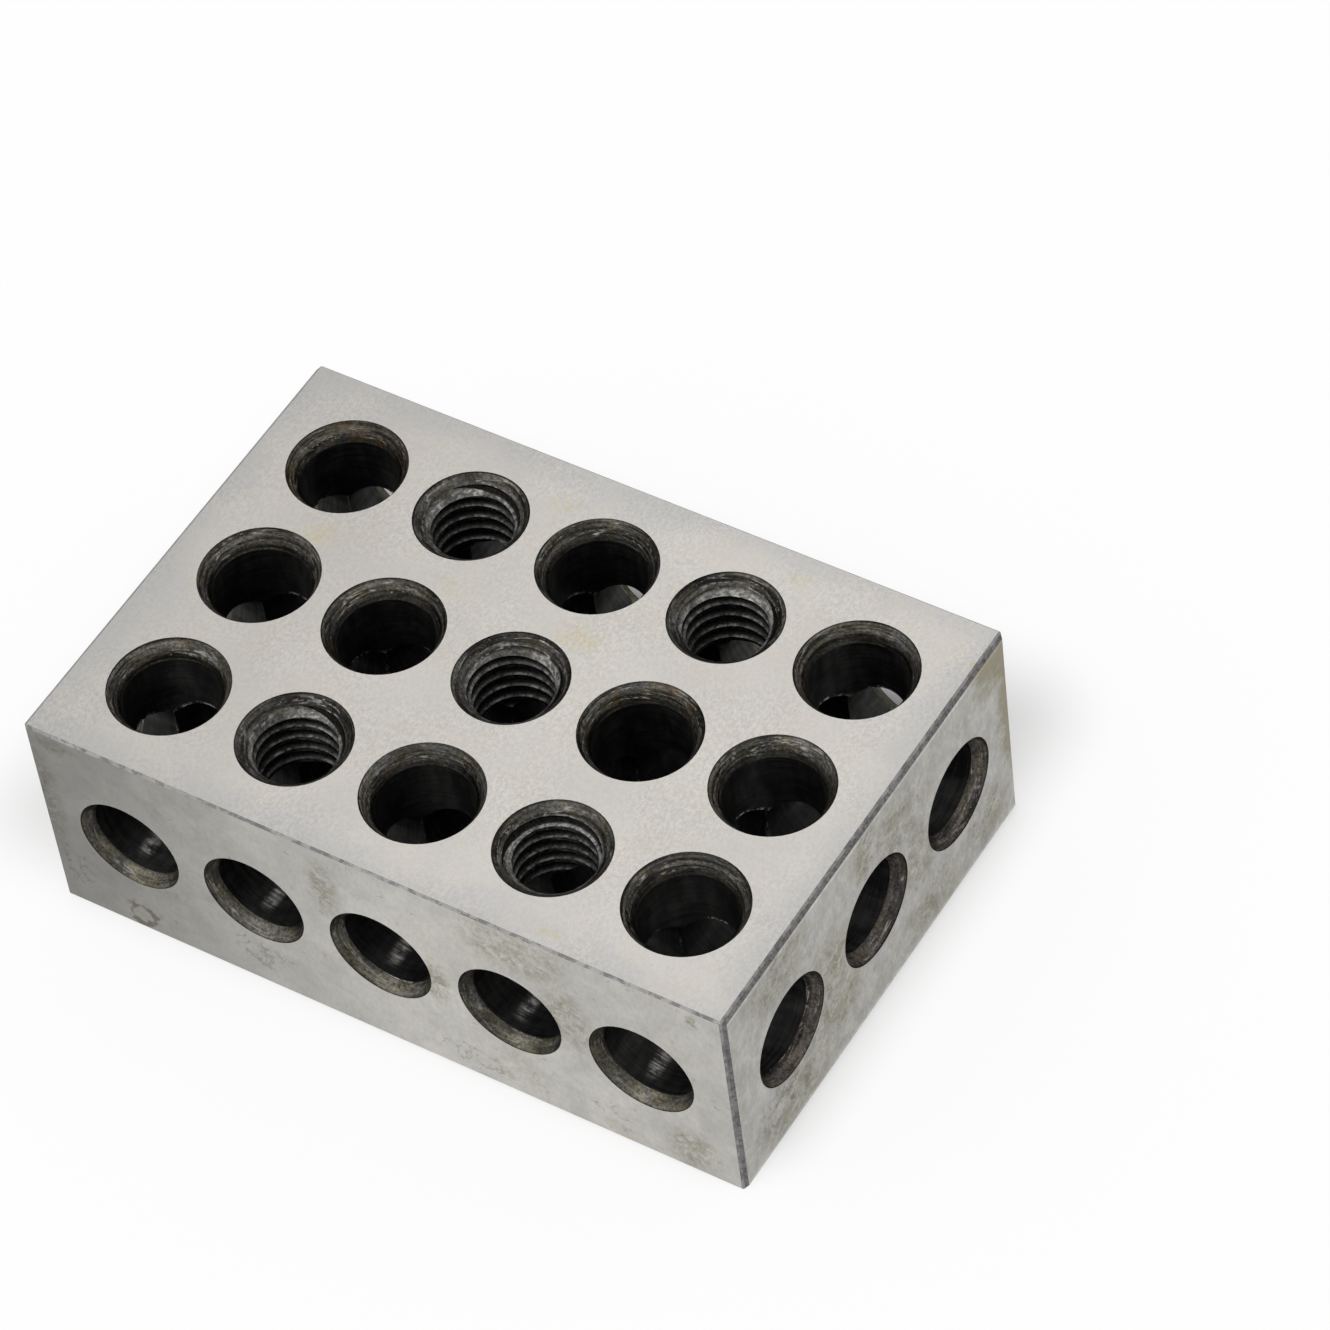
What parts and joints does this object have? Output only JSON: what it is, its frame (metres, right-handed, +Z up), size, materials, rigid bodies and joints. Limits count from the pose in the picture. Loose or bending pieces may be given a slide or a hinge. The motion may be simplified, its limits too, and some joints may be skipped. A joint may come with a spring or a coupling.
{
  "type": "machinist setup block",
  "caption": "Hardened and ground steel setup block, one by two by three inches, with plain and tapped holes through it in all three directions.",
  "frame": {"origin": "centre of the bottom face, one of the two largest faces", "axes": "+X along the 3 in length, +Y along the 2 in width, +Z up the 1 in height"},
  "size_m": [0.0762, 0.0508, 0.0254],
  "materials": {
    "ground_steel": "fine ground"
  },
  "bodies": {
    "root": {"setup_block": "ground_steel"}
  },
  "joints": []
}
